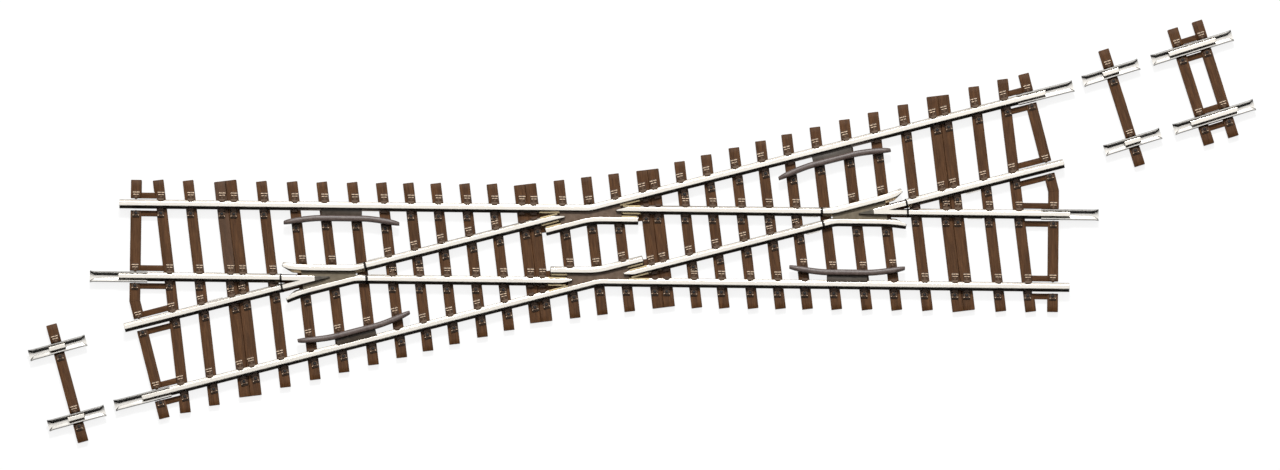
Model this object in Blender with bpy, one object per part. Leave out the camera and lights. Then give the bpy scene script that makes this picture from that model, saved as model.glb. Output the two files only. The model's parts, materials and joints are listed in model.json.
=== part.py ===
"""A fixed diamond crossing for 16.5 mm gauge model track, with three loose make-up pieces.

Lengths are in millimetres until new_object turns them into metres. The origin is the
middle of the crossing on its underside and Z is up. The straight track runs along X. The
diagonal track is the same track turned by CROSSING_ANGLE. West is -X and north is +Y.
The crossing looks the same after half a turn about Z, so most pieces are made for its
west or north side and placed a second time, half a turn round.
"""

import math
from collections import namedtuple

import bmesh
import bpy
from mathutils import Vector

# Driving dimensions
CROSSING_ANGLE = math.radians(15)
ROUTE_HALF = 115.0  # half the length of each track
GAUGE = 16.62  # between the heads, where the nominal gauge is 16.5
HEAD_WIDTH = 1.1
FOOT_WIDTH = 2.2
WEB_WIDTH = 0.56
RAIL_HEIGHT = 2.1
SLEEPER_TOP = 1.9
FIT = 0.05  # clearance between pieces that touch on the real object
SLEEPER_WIDTH = 2.6
DOUBLE_WIDTH = 5.45
SLEEPER_LENGTH = 29.4
GAP_IN_RAIL = 0.45  # insulating gap beside a frog
OUTER_GAP = 75.7  # distance along a track from its middle to each gap
INNER_GAP = 54.9
FROG_WING_OFFSET = 2.35  # between the centres of a wing rail and the frog's leg
K_FLANGEWAY = 1.3
CHECK_OFFSET = 2.55  # between the centres of a K check rail and the nose beside it
CHECK_ARM = 11.4
GUARD_OFFSET = 2.95  # between the centres of a guard rail and the rail it guards
JOINER_LENGTH = 13.9
JOINER_OUT = 6.9  # the part of a joiner that stands out past the rail's end
JOINER_SHEET = 0.17

# Distances of the sleepers from the middle one, along the line that halves the angle
SLEEPER_STATIONS = (6.65, 14.92, 22.87, 29.45, 36.35, 42.93, 49.42, 56.42)
SLEEPER_STATIONS += (63.70, 70.82, 78.19, 86.86, 95.77, 102.93)
DOUBLE_STATIONS = (14.92, 86.86)
END_SLEEPER_INSET = 4.0  # from the rail's end to the middle of the last sleeper
MIDDLE_SLEEPERS = 14.92  # sleepers no further out than this share one length

# Worked out from the driving dimensions
HALF_ANGLE = CROSSING_ANGLE / 2
RAIL_OFFSET = (GAUGE + HEAD_WIDTH) / 2
RAIL_BASE = SLEEPER_TOP + FIT
RAIL_TOP = RAIL_BASE + RAIL_HEIGHT
STRAIGHT, BISECTOR, DIAGONAL = 0.0, HALF_ANGLE, CROSSING_ANGLE
FROG_REACH = RAIL_OFFSET * (1 + math.cos(CROSSING_ANGLE)) / math.sin(CROSSING_ANGLE)
KNEE_REACH = RAIL_OFFSET * (1 - math.cos(CROSSING_ANGLE)) / math.sin(CROSSING_ANGLE)
FLOOR_DEPTH = 1.1  # from the rails' tops down to the floor of a crossing
FLOOR_TOP = RAIL_TOP - FLOOR_DEPTH

# Half of the rail's section, from the middle of its base round to the middle of its top
HALF_SECTION = (
    (FOOT_WIDTH / 2, 0.0),
    (FOOT_WIDTH / 2, 0.25),
    (WEB_WIDTH / 2, 0.5),
    (WEB_WIDTH / 2, 1.4),
    (HEAD_WIDTH / 2, 1.6),
    (HEAD_WIDTH / 2, RAIL_HEIGHT - 0.1),
    (HEAD_WIDTH / 2 - 0.08, RAIL_HEIGHT),
)

NICKEL = ("nickel_silver", (0.86, 0.83, 0.76), 0.28, 1.0)
CASTING = ("cast_metal", (0.35, 0.32, 0.28), 0.5, 0.8)
BROWN = ("brown_plastic", (0.105, 0.052, 0.026), 0.6, 0.0)
GUARD = ("guard_plastic", (0.155, 0.105, 0.09), 0.5, 0.0)


def at(angle, along, across):
    """The plan point that lies so far along and to the left of a line at this angle."""
    cos, sin = math.cos(angle), math.sin(angle)
    return Vector((along * cos - across * sin, along * sin + across * cos))


def material_of(kind):
    name, colour, roughness, metallic = kind
    if name in bpy.data.materials:
        return bpy.data.materials[name]
    material = bpy.data.materials.new(name)
    material.use_nodes = True
    shader = material.node_tree.nodes["Principled BSDF"]
    shader.inputs["Base Color"].default_value = (*colour, 1.0)
    shader.inputs["Roughness"].default_value = roughness
    shader.inputs["Metallic"].default_value = metallic
    return material


def new_object(name, bm, kind, origin=(0.0, 0.0), angle=0.0, parent=None):
    """Turns a bmesh in millimetres into an object in metres, and places it in plan."""
    bmesh.ops.recalc_face_normals(bm, faces=bm.faces)
    for vert in bm.verts:
        vert.co /= 1000
    mesh = bpy.data.meshes.new(name)
    bm.to_mesh(mesh)
    bm.free()
    mesh.materials.append(material_of(kind))
    obj = bpy.data.objects.new(name, mesh)
    bpy.context.scene.collection.objects.link(obj)
    obj.location = (origin[0] / 1000, origin[1] / 1000, 0)
    obj.rotation_euler.z = angle
    obj.parent = parent
    return obj


def combine(obj, bm, operation, origin=(0.0, 0.0), angle=0.0, use_self=False):
    """Adds or cuts the shapes of bm, in obj's own frame, with a Boolean modifier."""
    tool = new_object(obj.name + "_" + operation.lower(), bm, BROWN, origin, angle, obj.parent)
    tool.hide_render = True
    tool.display_type = "WIRE"
    modifier = obj.modifiers.new(operation.title(), "BOOLEAN")
    modifier.operation = operation
    modifier.solver = "EXACT"
    modifier.object = tool
    modifier.use_self = use_self


def add_loft(bm, sections):
    """A closed body through sections that have the same number of points."""
    rings = [[bm.verts.new(point) for point in section] for section in sections]
    count = len(rings[0])
    for near, far in zip(rings, rings[1:]):
        for i in range(count):
            j = (i + 1) % count
            bm.faces.new((near[i], near[j], far[j], far[i]))
    bm.faces.new(rings[0][::-1])
    bm.faces.new(rings[-1])


def add_prism(bm, outline, bottom, top):
    """An upright body over a plan outline."""
    add_loft(bm, [[(p[0], p[1], z) for p in outline] for z in (bottom, top)])


def add_bar(bm, angle, along, across, bottom, top):
    """A box with two sides parallel to a line at this angle."""
    (start, end), (right, left) = along, across
    corners = ((start, right), (end, right), (end, left), (start, left))
    add_prism(bm, [at(angle, *corner) for corner in corners], bottom, top)


def add_sweep(bm, path, profile, base=0.0, limits=None):
    """Sweeps a (left, up) profile along a plan path, with mitred bends.

    limits holds, for each point of the path, how far to the left the profile may reach.
    """
    sections = []
    for i, point in enumerate(path):
        before = path[max(i - 1, 0)]
        after = path[min(i + 1, len(path) - 1)]
        into = (point - before if i else after - point).normalized()
        out = (after - point if i < len(path) - 1 else into).normalized()
        way = (into + out).normalized()
        left = Vector((-way.y, way.x)) / way.dot(into)
        reach = limits[i] if limits else math.inf
        section = []
        for across, up in profile:
            place = point + left * min(across, reach)
            section.append((place.x, place.y, base + up))
        sections.append(section)
    add_loft(bm, sections)


def both_sides(half):
    """A whole outline from its right half, mirrored."""
    return [(x, z) for x, z in half] + [(-x, z) for x, z in reversed(half)]


RAIL_SECTION = both_sides(HALF_SECTION)


def empty(name, angle=0.0, origin=(0.0, 0.0)):
    obj = bpy.data.objects.new(name, None)
    bpy.context.scene.collection.objects.link(obj)
    obj.rotation_euler.z = angle
    obj.location = (origin[0] / 1000, origin[1] / 1000, 0)
    return obj


# ---------------------------------------------------------------- rails


def knee_rail(name, half):
    """The outer rail of both tracks, one rail bent in the middle."""
    arm = ROUTE_HALF - KNEE_REACH
    path = [at(-HALF_ANGLE, -arm, 0), Vector((0, 0)), at(HALF_ANGLE, arm, 0)]
    bm = bmesh.new()
    add_sweep(bm, path, RAIL_SECTION, RAIL_BASE)
    new_object(name, bm, NICKEL, knee_point(), BISECTOR, half)


def knee_point():
    return at(STRAIGHT, -KNEE_REACH, RAIL_OFFSET)


def check_rail(name, half):
    """The bent rail that guards the gap between the two noses of a K crossing."""
    bend = Vector((0, -CHECK_OFFSET / math.cos(HALF_ANGLE)))
    path = [bend + at(HALF_ANGLE, -CHECK_ARM, 0), bend, bend + at(-HALF_ANGLE, CHECK_ARM, 0)]
    bm = bmesh.new()
    add_sweep(bm, path, RAIL_SECTION, RAIL_BASE)
    new_object(name, bm, NICKEL, knee_point(), BISECTOR, half)


def lead_rail(name, half, angle, across):
    """The rail from the end of the track to the gap beside the frog."""
    bm = bmesh.new()
    path = [Vector((-ROUTE_HALF, 0)), Vector((-OUTER_GAP - GAP_IN_RAIL / 2, 0))]
    add_sweep(bm, path, RAIL_SECTION, RAIL_BASE)
    new_object(name, bm, NICKEL, at(angle, 0, across), angle, half)


def nose_distance(limit):
    """The distance from the knee at which a nose reaches this far towards the knee rail."""
    kept_clear = (HEAD_WIDTH / 2 + K_FLANGEWAY) / math.cos(CROSSING_ANGLE)
    return (limit + kept_clear) / math.tan(CROSSING_ANGLE)


NOSE_TIP_LIMIT = -0.2
NOSE_REACH = nose_distance(NOSE_TIP_LIMIT)


def closure_rail(name, half, angle, across, knee_along, mirrored):
    """The rail from the gap beside the frog to its planed nose at the K crossing."""
    start = -INNER_GAP + GAP_IN_RAIL / 2
    planed = [FOOT_WIDTH / 2, HEAD_WIDTH / 2, WEB_WIDTH / 2, NOSE_TIP_LIMIT]
    path = [Vector((start, 0))] + [Vector((knee_along - nose_distance(x), 0)) for x in planed]
    limits = [FOOT_WIDTH / 2] + planed
    bm = bmesh.new()
    add_sweep(bm, path, RAIL_SECTION, RAIL_BASE, limits)
    if mirrored:
        for vert in bm.verts:
            vert.co.y = -vert.co.y
    new_object(name, bm, NICKEL, at(angle, 0, across), angle, half)


# ---------------------------------------------------------------- crossings


def frog_casting(name, half):
    """The cast V and wing rails of an acute crossing, on their own floor."""
    leg_end = FROG_REACH - OUTER_GAP + GAP_IN_RAIL / 2
    wing_start = FROG_REACH - INNER_GAP - GAP_IN_RAIL / 2
    knuckle = FROG_WING_OFFSET / math.sin(CROSSING_ANGLE)
    bend_from, bend_to = knuckle + 1.0, 7.8
    flare_start, wing_end, flare = -2.8, -8.6, 0.45
    tip_half, floor_west, floor_east = 0.2, -3.7, 9.4
    tilt = -HALF_ANGLE
    crotch = -HEAD_WIDTH / 2 / math.sin(HALF_ANGLE)
    tip = (HEAD_WIDTH / 2 / math.cos(HALF_ANGLE) - tip_half) / math.tan(HALF_ANGLE)
    north_leg = [at(tilt, leg_end, -HEAD_WIDTH / 2), at(tilt, leg_end, HEAD_WIDTH / 2)]
    south_leg = [Vector((p.x, -p.y)) for p in reversed(north_leg)]
    nose = [Vector((tip, tip_half)), Vector((tip, -tip_half))]
    vee = bmesh.new()
    add_prism(vee, north_leg + nose + south_leg + [Vector((crotch, 0))], RAIL_BASE + 0.02, RAIL_TOP)
    wing = [
        at(HALF_ANGLE, wing_start, 0),
        at(HALF_ANGLE, bend_from, 0),
        at(tilt, bend_to, FROG_WING_OFFSET),
        at(tilt, flare_start, FROG_WING_OFFSET),
        at(tilt, wing_end, FROG_WING_OFFSET + flare),
    ]
    for mirror in (1, -1):
        add_sweep(vee, [Vector((p.x, mirror * p.y)) for p in wing], RAIL_SECTION, RAIL_BASE)
    middle = at(tilt, floor_west, FROG_WING_OFFSET)
    floor = [Vector((floor_west, middle.y)), at(HALF_ANGLE, knuckle, 0), at(HALF_ANGLE, floor_east, 0)]
    floor += [Vector((p.x, -p.y)) for p in reversed(floor)]
    bm = bmesh.new()
    add_prism(bm, floor, RAIL_BASE + 0.04, FLOOR_TOP)
    place = at(STRAIGHT, -FROG_REACH, -RAIL_OFFSET)
    obj = new_object(name, bm, CASTING, place, BISECTOR, half)
    combine(obj, vee, "UNION", place, BISECTOR)


def k_floor(name, half):
    """The plastic floor between the knee rail and the check rail, notched for the noses."""
    reach = 7.4
    bottom = RAIL_BASE + 0.55
    side = WEB_WIDTH / 2 + FIT
    slope = math.tan(HALF_ANGLE)
    level = side / math.cos(HALF_ANGLE)
    check = -CHECK_OFFSET / math.cos(HALF_ANGLE)
    tip = (NOSE_REACH - 0.1) * math.cos(HALF_ANGLE)
    notch_top = -tip * slope + 0.1
    notch_bottom = -tip * slope - level - 0.25
    planed = HEAD_WIDTH / 2 + K_FLANGEWAY - FIT
    east = [
        Vector((0, -level)),
        Vector((reach, reach * slope - level)),
        Vector((reach, reach * slope - planed / math.cos(HALF_ANGLE))),
        Vector((tip, notch_top)),
        Vector((tip, notch_bottom)),
        Vector((reach, -reach * slope - level - 0.25)),
        Vector((reach, check - reach * slope + level)),
        Vector((0, check + level)),
    ]
    west = [Vector((-p.x, p.y)) for p in reversed(east[1:-1])]
    bm = bmesh.new()
    add_prism(bm, east + west, bottom, FLOOR_TOP)
    new_object(name, bm, BROWN, knee_point(), BISECTOR, half)


GUARD_STATIONS = (-75.2, -66.3, -56.1, -47.2)  # end, start and end of the flat part, end
GUARD_FLARE = 1.2
GUARD_WIDTH = 1.4


def guard_flare(along):
    """How far a west guard rail has turned away from its rail at this distance."""
    west, flat_west, flat_east, east = GUARD_STATIONS
    into = max((flat_west - along) / (flat_west - west), (along - flat_east) / (east - flat_east))
    return GUARD_FLARE * min(max(into, 0.0), 1.0)


def guard_rail(name, half, angle, across, inward):
    """A plastic guard rail with flared ends, joined to its rail by a low spacer."""
    flat_west, flat_east = GUARD_STATIONS[1:3]
    edge = GUARD_WIDTH / 2
    back = GUARD_OFFSET + edge
    path = [Vector((s, inward * (GUARD_OFFSET + guard_flare(s)))) for s in GUARD_STATIONS]
    block = [(-edge, 0), (edge, 0), (edge, RAIL_HEIGHT), (-edge, RAIL_HEIGHT)]
    bm = bmesh.new()
    add_sweep(bm, path, block, RAIL_BASE)
    obj = new_object(name, bm, GUARD, at(angle, 0, across), angle, half)
    web_side = WEB_WIDTH / 2 + FIT
    foot_side = FOOT_WIDTH / 2 + FIT
    section = [
        (web_side, 0.55),
        (foot_side, 0.55),
        (foot_side, 0.02),
        (back - 0.1, 0.02),
        (back - 0.1, 1.0),
        (web_side, 1.0),
    ]
    spacer = bmesh.new()
    ends = (flat_west + 0.2, flat_east - 0.2)
    rows = [[(s, inward * y, RAIL_BASE + z) for y, z in section] for s in ends]
    add_loft(spacer, rows)
    combine(obj, spacer, "UNION", at(angle, 0, across), angle)


# ---------------------------------------------------------------- joiners and feed strips


def joiner_section():
    """A sleeve folded from sheet, whose lips turn inwards and down onto the rail's foot."""
    inner = FOOT_WIDTH / 2 + FIT
    outer = inner + JOINER_SHEET
    fold, lip = 0.13, 0.42
    half = (
        (outer, -FIT - JOINER_SHEET),
        (outer, 0.70),
        (outer - fold, 0.80),
        (lip, 0.64),
        (lip, 0.52),
        (inner - fold, 0.60),
        (inner, 0.52),
        (inner, -FIT),
    )
    return both_sides(half)


def joiner(name, length, place, angle, parent):
    bm = bmesh.new()
    path = [Vector((-length / 2, 0)), Vector((length / 2, 0))]
    add_sweep(bm, path, joiner_section(), RAIL_BASE)
    new_object(name, bm, NICKEL, place, angle, parent)


def end_joiner(name, half, angle, across):
    """A joiner on the end of a rail, free to slide along it."""
    centre = -ROUTE_HALF - JOINER_OUT + JOINER_LENGTH / 2
    joiner(name, JOINER_LENGTH, at(angle, centre, across), angle, half)


FEED_WEST, FEED_EAST = -92.0, -52.2  # where a feed strip turns up to its rails
GROOVE_TOP = 1.25


def feed_strip(name, half, angle, across, level):
    """A thin strip under the frog, turned up at both ends to the rails beside it."""
    thick, width = 0.2, 0.8
    top = SLEEPER_TOP - 0.1
    outline = [
        (FEED_WEST, top - 0.1),
        (FEED_WEST, level),
        (FEED_EAST, level),
        (FEED_EAST, top - 0.1),
        (FEED_EAST - thick, top - 0.1),
        (FEED_EAST - thick, level + thick),
        (FEED_WEST + thick, level + thick),
        (FEED_WEST + thick, top - 0.1),
    ]
    bm = bmesh.new()
    add_loft(bm, [[(s, y, z) for s, z in outline] for y in (-width / 2, width / 2)])
    obj = new_object(name, bm, NICKEL, at(angle, 0, across), angle, half)
    plates = bmesh.new()
    plate_half, inner_edge, outer_edge = 1.8, -0.7, 1.35
    for middle in (FEED_WEST, FEED_EAST):
        ends = (middle - plate_half, middle + plate_half)
        add_bar(plates, 0.0, ends, (inner_edge, outer_edge), top - 0.2, top)
    combine(obj, plates, "UNION", at(angle, 0, across), angle)


# ---------------------------------------------------------------- sleepers

CHAIR_GAP = 0.08  # from the edge of what a chair holds to the chair
CHAIR_REACH = 2.02
CHAIR_END = FOOT_WIDTH / 2 + CHAIR_GAP + CHAIR_REACH
CHAIR_WIDTH = 1.7
CHAIR_HEIGHT = 0.4
POCKET_HALF = 1.5  # half the width of the slot that takes a joiner
POCKET_END = 106.0
POCKET_WEB = 1.35  # width of the plastic on each side of the slot
WING_BEARING = RAIL_OFFSET - FROG_WING_OFFSET
WING_SPAN = (-75.1, -57.0)
GUARD_BEARING = RAIL_OFFSET - GUARD_OFFSET
RUNNER_HALF = 0.65  # half the width of the runners under a rail with a frog
RUNNER_NEAR, RUNNER_FAR = 48.7, 95.7  # where the runners stop, along the track
CHANNEL_HALF = 1.0  # half the width of the wider runner, which hides a feed strip
CHANNEL_NEAR, CHANNEL_FAR = 55.9, 86.7
PAD_NEAR, PAD_FAR = 6.0, 13.0  # the K crossing's pads, along from its middle
PAD_IN, PAD_OUT = 4.2, 1.4  # and across from the knee rail

# A straight line that something rests on: sides are those of its chairs, foot half its width
Bearing = namedtuple("Bearing", "angle across start end sides foot flared", defaults=(False,))


def sleeper_half(station):
    reach = max(abs(station), MIDDLE_SLEEPERS) * math.sin(HALF_ANGLE)
    return (SLEEPER_LENGTH / 2 + reach) / math.cos(HALF_ANGLE)


def half_turned(bearing):
    """The same bearing line, half a turn round the middle."""
    return bearing._replace(
        across=-bearing.across,
        start=-bearing.end,
        end=-bearing.start,
        sides=tuple(-side for side in bearing.sides),
    )


def bearing_lines():
    """Every line that something rests on, on both halves of the crossing."""
    foot = FOOT_WIDTH / 2
    flared_foot = foot + 0.2
    bent_foot = foot + 0.15
    both = (1, -1)
    knee, nose = KNEE_REACH, NOSE_REACH - KNEE_REACH
    knee_across = RAIL_OFFSET / math.cos(HALF_ANGLE)
    check = RAIL_OFFSET - CHECK_OFFSET
    check_across = knee_across - CHECK_OFFSET / math.cos(HALF_ANGLE)
    check_end = CHECK_ARM - KNEE_REACH + CHECK_OFFSET * math.tan(HALF_ANGLE)
    guard = (GUARD_STATIONS[0], GUARD_STATIONS[-1])
    guard_foot = GUARD_WIDTH / 2
    west = [
        Bearing(STRAIGHT, RAIL_OFFSET, -ROUTE_HALF, -knee, both, foot),
        Bearing(DIAGONAL, -RAIL_OFFSET, -ROUTE_HALF, -knee, both, foot),
        Bearing(BISECTOR, knee_across, -1, 1, both, bent_foot),
        Bearing(STRAIGHT, -RAIL_OFFSET, -ROUTE_HALF, -OUTER_GAP, both, foot),
        Bearing(DIAGONAL, RAIL_OFFSET, -ROUTE_HALF, -OUTER_GAP, both, foot),
        Bearing(STRAIGHT, -RAIL_OFFSET, -INNER_GAP, -nose, both, foot),
        Bearing(DIAGONAL, RAIL_OFFSET, -INNER_GAP, -nose, both, foot),
        Bearing(STRAIGHT, -RAIL_OFFSET, -OUTER_GAP, -INNER_GAP, (), foot),
        Bearing(DIAGONAL, RAIL_OFFSET, -OUTER_GAP, -INNER_GAP, (), foot),
        Bearing(STRAIGHT, -WING_BEARING, *WING_SPAN, (1,), flared_foot),
        Bearing(DIAGONAL, WING_BEARING, *WING_SPAN, (-1,), flared_foot),
        Bearing(STRAIGHT, GUARD_BEARING, *guard, (-1,), guard_foot, True),
        Bearing(DIAGONAL, -GUARD_BEARING, *guard, (1,), guard_foot, True),
        Bearing(DIAGONAL, check, -check_end, 0, (-1,), foot),
        Bearing(STRAIGHT, -check, -check_end, 0, (1,), foot),
        Bearing(BISECTOR, check_across, -1, 1, (-1,), bent_foot),
    ]
    return west + [half_turned(bearing) for bearing in west]


def is_clear(point, own, lines):
    """Whether a chair centred on this point stays off everything but its own rail."""
    beside, beyond = CHAIR_REACH / 2 + 0.1, CHAIR_WIDTH / 2 + 0.35
    for line in lines:
        along = point.dot(at(line.angle, 1, 0))
        across = abs(point.dot(at(line.angle, 0, 1)) - line.across)
        past_end = max(line.start - along, along - line.end)
        if line is not own and across < line.foot + beside and past_end < beyond:
            return False
    return True


def add_chairs(bm, station, lines):
    """The rail chairs of one sleeper, leaving out those that have no room."""
    margin = 0.5  # between the middle of a chair and the end of what it holds
    for line in lines:
        tilt = line.angle - BISECTOR
        along = (station + line.across * math.sin(tilt)) / math.cos(tilt)
        if not line.start + margin < along < line.end - margin:
            continue
        # Chairs of different tracks can meet, and their tops then differ a little
        height = CHAIR_HEIGHT + (0.02 if line.angle else 0.0)
        near = line.foot + CHAIR_GAP + (guard_flare(-abs(along)) if line.flared else 0.0)
        far = near + CHAIR_REACH
        for side in line.sides:
            if not is_clear(at(line.angle, along, line.across + side * (near + far) / 2), line, lines):
                continue
            edges = sorted((line.across + side * near, line.across + side * far))
            ends = (along - CHAIR_WIDTH / 2, along + CHAIR_WIDTH / 2)
            add_bar(bm, line.angle, ends, edges, SLEEPER_TOP - 0.2, SLEEPER_TOP + height)


def add_end_sleeper(bm, side):
    """The kinked last sleeper, square to each track in turn, with chairs beside the slots."""
    middle = ROUTE_HALF - END_SLEEPER_INSET
    for angle in (STRAIGHT, DIAGONAL):
        for across in (-RAIL_OFFSET, RAIL_OFFSET):
            ends = (side * middle - CHAIR_WIDTH / 2, side * middle + CHAIR_WIDTH / 2)
            edges = (across - CHAIR_END, across + CHAIR_END)
            add_bar(bm, angle, ends, edges, SLEEPER_TOP - 0.1, SLEEPER_TOP + CHAIR_HEIGHT)
    inner, outer = middle - SLEEPER_WIDTH / 2, middle + SLEEPER_WIDTH / 2
    turned_out = STRAIGHT - BISECTOR
    edge = SLEEPER_LENGTH / 2
    reach = [at(turned_out, -outer, edge), Vector((-outer / math.cos(HALF_ANGLE), 0))]
    back = [Vector((-inner / math.cos(HALF_ANGLE), 0)), at(turned_out, -inner, edge)]
    outline = reach + [Vector((reach[0].x, -reach[0].y)), Vector((back[1].x, -back[1].y))] + back
    turned = [at(BISECTOR, side * p.x, side * p.y) for p in outline]
    add_prism(bm, turned, 0, SLEEPER_TOP)


def add_webs(bm, angle, across, side):
    """The plastic that ties the sleepers together along one rail with a frog."""
    # The two tracks' webs cross, and the lift keeps their faces apart
    lift = 0.05 if angle else 0.0
    reach = SLEEPER_STATIONS[-1]
    edges = (across - RUNNER_HALF, across + RUNNER_HALF)
    for near, far in ((-reach, RUNNER_NEAR), (RUNNER_FAR, reach)):
        add_bar(bm, angle, sorted((side * near, side * far)), edges, 0.4 + lift, 1.4 + lift)
    ends = sorted((side * CHANNEL_NEAR, side * CHANNEL_FAR))
    edges = (across - CHANNEL_HALF, across + CHANNEL_HALF)
    add_bar(bm, angle, ends, edges, 0.05 + lift, 1.55 + lift)


def add_pocket_webs(bm, angle, across, side):
    """The two webs beside a joiner's slot, from the last square sleeper to the kinked one."""
    tilt = angle - BISECTOR
    overlap = 0.05
    for way in (-1, 1):
        edges = sorted(across + way * x for x in (POCKET_HALF - overlap, POCKET_HALF + POCKET_WEB))
        inner = (side * SLEEPER_STATIONS[-1] + sum(edges) / 2 * math.sin(tilt)) / math.cos(tilt)
        ends = sorted((inner, side * (ROUTE_HALF - END_SLEEPER_INSET)))
        add_bar(bm, angle, ends, edges, 0.06, 1.6)


def add_k_pads(bm, side):
    """The low plastic between the rails of a K crossing, on both sides of its floor."""
    knee = at(STRAIGHT, -side * KNEE_REACH, side * RAIL_OFFSET)
    along = knee.dot(at(BISECTOR, 1, 0))
    across = knee.dot(at(BISECTOR, 0, 1))
    edges = sorted((across - side * PAD_IN, across + side * PAD_OUT))
    for end in (-1, 1):
        ends = sorted((along + end * PAD_NEAR, along + end * PAD_FAR))
        add_bar(bm, BISECTOR, ends, edges, 0.3, 1.7)


def sleeper_moulding():
    """All the sleepers of the crossing with their chairs and webs, one plastic moulding."""
    bm = bmesh.new()
    lines = bearing_lines()
    stations = [0.0] + [side * s for s in SLEEPER_STATIONS for side in (-1, 1)]
    for station in stations:
        double = abs(station) in DOUBLE_STATIONS
        width = DOUBLE_WIDTH if double else SLEEPER_WIDTH
        half = sleeper_half(station)
        ends = (station - width / 2, station + width / 2)
        add_bar(bm, BISECTOR, ends, (-half, half), 0, SLEEPER_TOP)
        spread = (DOUBLE_WIDTH - SLEEPER_WIDTH) / 2 if double else 0.0
        for chairs_at in sorted({station - spread, station + spread}):
            add_chairs(bm, chairs_at, lines)
    slots = bmesh.new()
    groove_half, groove_past = 0.6, 1.4
    for side in (-1, 1):
        add_end_sleeper(bm, side)
        add_k_pads(bm, side)
        for angle in (STRAIGHT, DIAGONAL):
            frog_rail = RAIL_OFFSET * (side if angle == STRAIGHT else -side)
            add_webs(bm, angle, frog_rail, side)
            ends = sorted((side * (-FEED_EAST - groove_past), side * (-FEED_WEST + groove_past)))
            edges = (frog_rail - groove_half, frog_rail + groove_half)
            add_bar(slots, angle, ends, edges, -0.5, GROOVE_TOP)
            for across in (-RAIL_OFFSET, RAIL_OFFSET):
                add_pocket_webs(bm, angle, across, side)
                ends = sorted((side * POCKET_END, side * (ROUTE_HALF + 1)))
                edges = (across - POCKET_HALF, across + POCKET_HALF)
                add_bar(slots, angle, ends, edges, -1, SLEEPER_TOP + 1)
    obj = new_object("sleeper_moulding", bm, BROWN)
    combine(obj, slots, "DIFFERENCE", use_self=True)


# ---------------------------------------------------------------- loose make-up pieces


def make_up_piece(name, centre, turn, rail_length, joiner_length, offsets):
    """A short piece of track: sleepers, two rails and a long joiner on each rail.

    centre is how far along and to the left of the diagonal track's middle line it lies,
    and turn is by how many degrees it is turned from that line.
    """
    hub = empty(name, DIAGONAL + math.radians(turn), at(DIAGONAL, *centre))
    bm = bmesh.new()
    half = SLEEPER_LENGTH / 2
    for offset in offsets:
        ends = (offset - SLEEPER_WIDTH / 2, offset + SLEEPER_WIDTH / 2)
        add_bar(bm, 0.0, ends, (-half, half), 0, SLEEPER_TOP)
        ends = (offset - CHAIR_WIDTH / 2, offset + CHAIR_WIDTH / 2)
        for across in (-RAIL_OFFSET, RAIL_OFFSET):
            edges = (across - CHAIR_END, across + CHAIR_END)
            add_bar(bm, 0.0, ends, edges, SLEEPER_TOP - 0.1, SLEEPER_TOP + CHAIR_HEIGHT)
    if len(offsets) > 1:
        for across in (-RAIL_OFFSET, RAIL_OFFSET):
            for near in (across - POCKET_HALF - POCKET_WEB, across + POCKET_HALF):
                ends = (min(offsets), max(offsets))
                add_bar(bm, 0.0, ends, (near, near + POCKET_WEB), 0.06, 1.5)
    sleepers = new_object(name + "_sleepers", bm, BROWN, parent=hub)
    slots = bmesh.new()
    for across in (-RAIL_OFFSET, RAIL_OFFSET):
        reach = joiner_length / 2 + 1
        edges = (across - POCKET_HALF, across + POCKET_HALF)
        add_bar(slots, 0.0, (-reach, reach), edges, RAIL_BASE - 0.35, SLEEPER_TOP + 1)
    combine(sleepers, slots, "DIFFERENCE", use_self=True)
    for side, across in (("north", RAIL_OFFSET), ("south", -RAIL_OFFSET)):
        rail = bmesh.new()
        path = [Vector((-rail_length / 2, 0)), Vector((rail_length / 2, 0))]
        add_sweep(rail, path, RAIL_SECTION, RAIL_BASE)
        new_object(f"{name}_rail_{side}", rail, NICKEL, (0, across), 0.0, hub)
        joiner(f"{name}_joiner_{side}", joiner_length, (0, across), 0.0, hub)


def build():
    for obj in list(bpy.data.objects):
        bpy.data.objects.remove(obj)
    sleeper_moulding()
    halves = (("west", "north", empty("west_half")), ("east", "south", empty("east_half", math.pi)))
    for end, edge, half in halves:
        knee_rail(f"knee_rail_{edge}", half)
        check_rail(f"check_rail_{edge}", half)
        k_floor(f"k_floor_{edge}", half)
        frog_casting(f"frog_{end}", half)
        lead_rail(f"lead_rail_straight_{end}", half, STRAIGHT, -RAIL_OFFSET)
        lead_rail(f"lead_rail_diagonal_{end}", half, DIAGONAL, RAIL_OFFSET)
        closure_rail(f"closure_rail_straight_{end}", half, STRAIGHT, -RAIL_OFFSET, KNEE_REACH, True)
        closure_rail(f"closure_rail_diagonal_{end}", half, DIAGONAL, RAIL_OFFSET, KNEE_REACH, False)
        guard_rail(f"guard_rail_straight_{end}", half, STRAIGHT, RAIL_OFFSET, -1)
        guard_rail(f"guard_rail_diagonal_{end}", half, DIAGONAL, -RAIL_OFFSET, 1)
        feed_strip(f"feed_strip_straight_{end}", half, STRAIGHT, -RAIL_OFFSET, 0.2)
        feed_strip(f"feed_strip_diagonal_{end}", half, DIAGONAL, RAIL_OFFSET, 0.85)
    west, east = halves[0][2], halves[1][2]
    end_joiner("joiner_straight_west", west, STRAIGHT, -RAIL_OFFSET)
    end_joiner("joiner_diagonal_west", west, DIAGONAL, -RAIL_OFFSET)
    end_joiner("joiner_straight_east", east, STRAIGHT, -RAIL_OFFSET)
    end_joiner("joiner_diagonal_east", east, DIAGONAL, -RAIL_OFFSET)
    make_up_piece("west_single", (-131.7, -0.7), 1.0, 4.1, 14.2, (0.0,))
    make_up_piece("east_single", (132.0, 0.9), 3.0, 4.1, 14.2, (0.0,))
    make_up_piece("east_double", (152.6, 1.9), 3.1, 11.9, 20.4, (-3.1, 3.1))


build()
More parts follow.
